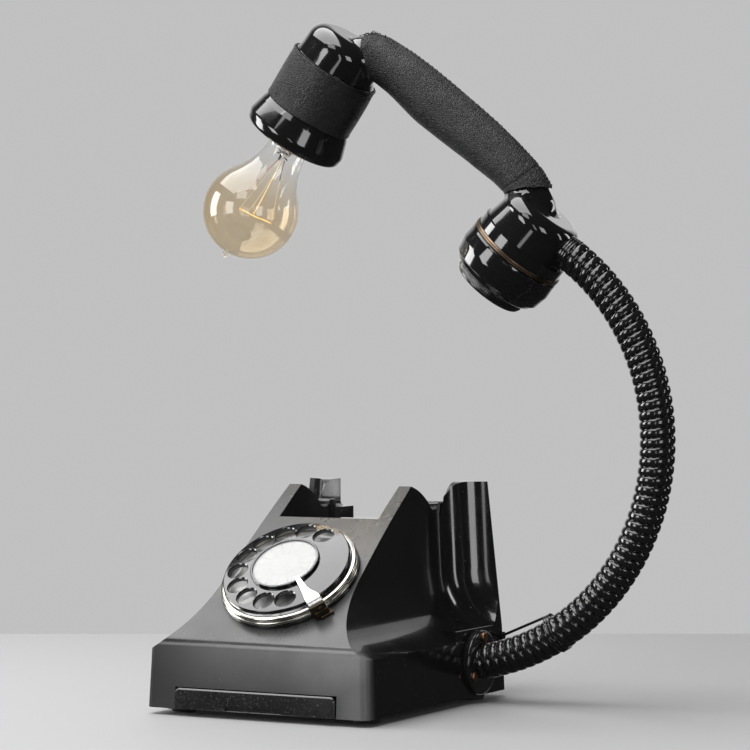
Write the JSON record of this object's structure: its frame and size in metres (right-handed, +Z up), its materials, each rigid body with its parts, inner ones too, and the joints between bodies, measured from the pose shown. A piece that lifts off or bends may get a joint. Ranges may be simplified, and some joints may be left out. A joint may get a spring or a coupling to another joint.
{
  "type": "telephone lamp",
  "caption": "Black rotary desk telephone made into a table lamp: its handset stands on a curved conduit arm and holds a bulb; turning dial, sprung cradle plungers and a pull-out drawer.",
  "frame": {"origin": "on the table, at the middle of the whole lamp's footprint box", "axes": "+Z up, -Y the way the dial faces, +X to the telephone's right, towards the arm"},
  "size_m": [0.3099, 0.1814, 0.4062],
  "materials": {
    "bakelite": "glossy black moulded phenolic",
    "bakelite_drawer": "worn black moulded phenolic",
    "dark_steel": "black japanned steel",
    "zinc_steel": "zinc plated steel",
    "rubber": "matt black rubber",
    "brass": "aged brass",
    "nickel": "bright nickel plate",
    "white_enamel": "white vitreous enamel",
    "label_paper": "white printed card",
    "clear_window": "clear celluloid",
    "conduit_black": "gloss black spiral conduit",
    "flange_black": "gloss black casting",
    "screw_steel": "bright steel",
    "flex_jacket": "black flex jacket",
    "leather_black": "black grained leather",
    "collar_gold": "dull brown-gold ring",
    "bulb_glass": "clear glass with an amber tint",
    "stem_glass": "clear pressed glass",
    "filament_wire": "warm metal wire",
    "insulator": "black insulating glass"
  },
  "bodies": {
    "base": {"body_shell": "bakelite", "base_plate": "dark_steel", "feet": "rubber", "foot_screws": "zinc_steel", "case_screws": "zinc_steel", "cord_gland": "rubber", "terminal_block": "insulator", "terminal_screws": "brass", "drawer_frame": "dark_steel", "plunger_springs": "zinc_steel", "switch_bracket": "bakelite", "contact_springs": "nickel", "dial_case": "bakelite", "dial_screws": "screw_steel", "dial_bezel": "nickel", "number_plate": "white_enamel", "dial_frame": "brass", "impulse_springs": "nickel", "mainspring": "zinc_steel", "finger_stop": "nickel", "arm_mount_block": "bakelite", "arm_flange": "flange_black", "flange_screws": "screw_steel", "arm_core": "dark_steel", "arm_conduit": "conduit_black", "arm_top_bush": "flange_black", "lamp_flex": "flex_jacket", "stay_clip": "flange_black", "stay_rod": "flange_black", "handset_body": "bakelite", "grip_leather": "leather_black", "receiver_band": "leather_black", "ear_cap": "bakelite", "lampholder_body": "insulator", "lampholder_shell": "brass", "lampholder_contact": "brass", "lampholder_ring": "bakelite", "transmitter_collar": "collar_gold", "mouthpiece_cap": "bakelite", "mouthpiece_insert": "bakelite", "transmitter_capsule": "zinc_steel"},
    "dial_wheel": {"finger_wheel": "bakelite", "label_ring": "nickel", "label_card": "label_paper", "label_window": "clear_window", "dial_shaft": "zinc_steel", "main_gear": "brass"},
    "governor": {"governor": "brass"},
    "cradle_plungers": {"plunger_left": "bakelite", "plunger_right": "bakelite", "plunger_yoke": "bakelite"},
    "drawer": {"drawer_tray": "bakelite_drawer"},
    "bulb_foot": {"bulb_contact": "insulator"},
    "bulb": {"bulb_glass": "bulb_glass", "bulb_cap": "brass", "bulb_stem": "stem_glass", "bulb_filament": "filament_wire"}
  },
  "joints": [
    {"name": "dial_turn", "type": "hinge", "parent": "base", "child": "dial_wheel", "pos_m": [-0.04, -0.0534, 0.084], "axis": [0, 0.6184, -0.7859], "range_deg": [0, 323], "stiffness_Nm_per_rad": 0.004, "springref_deg": -57.3},
    {"name": "governor_spin", "type": "hinge", "parent": "base", "child": "governor", "pos_m": [-0.04, -0.03631, 0.09745], "axis": [0, 0.6184, -0.7859], "range_deg": [-1620, 5]},
    {"name": "cradle_press", "type": "slide", "parent": "base", "child": "cradle_plungers", "axis": [0, 0, -1], "range_m": [0, 0.005], "stiffness_N_per_m": 180, "springref_m": -0.004, "deforming": ["plunger_springs"]},
    {"name": "drawer_slide", "type": "slide", "parent": "base", "child": "drawer", "axis": [0, -1, 0], "range_m": [0, 0.085]},
    {"name": "bulb_slide", "type": "slide", "parent": "base", "child": "bulb_foot", "axis": [-0.5736, 0, -0.8192], "range_m": [0, 0.0255]},
    {"name": "bulb_turn", "type": "hinge", "parent": "bulb_foot", "child": "bulb", "pos_m": [-0.0648, 0.05, 0.3788], "axis": [-0.5736, 0, -0.8192], "range_deg": [0, 2480]}
  ],
  "couplings": [
    {"joint": "governor_spin", "follows": "dial_turn", "ratio": -5},
    {"joint": "bulb_slide", "follows": "bulb_turn", "m_per_rad": 0.00057773}
  ]
}
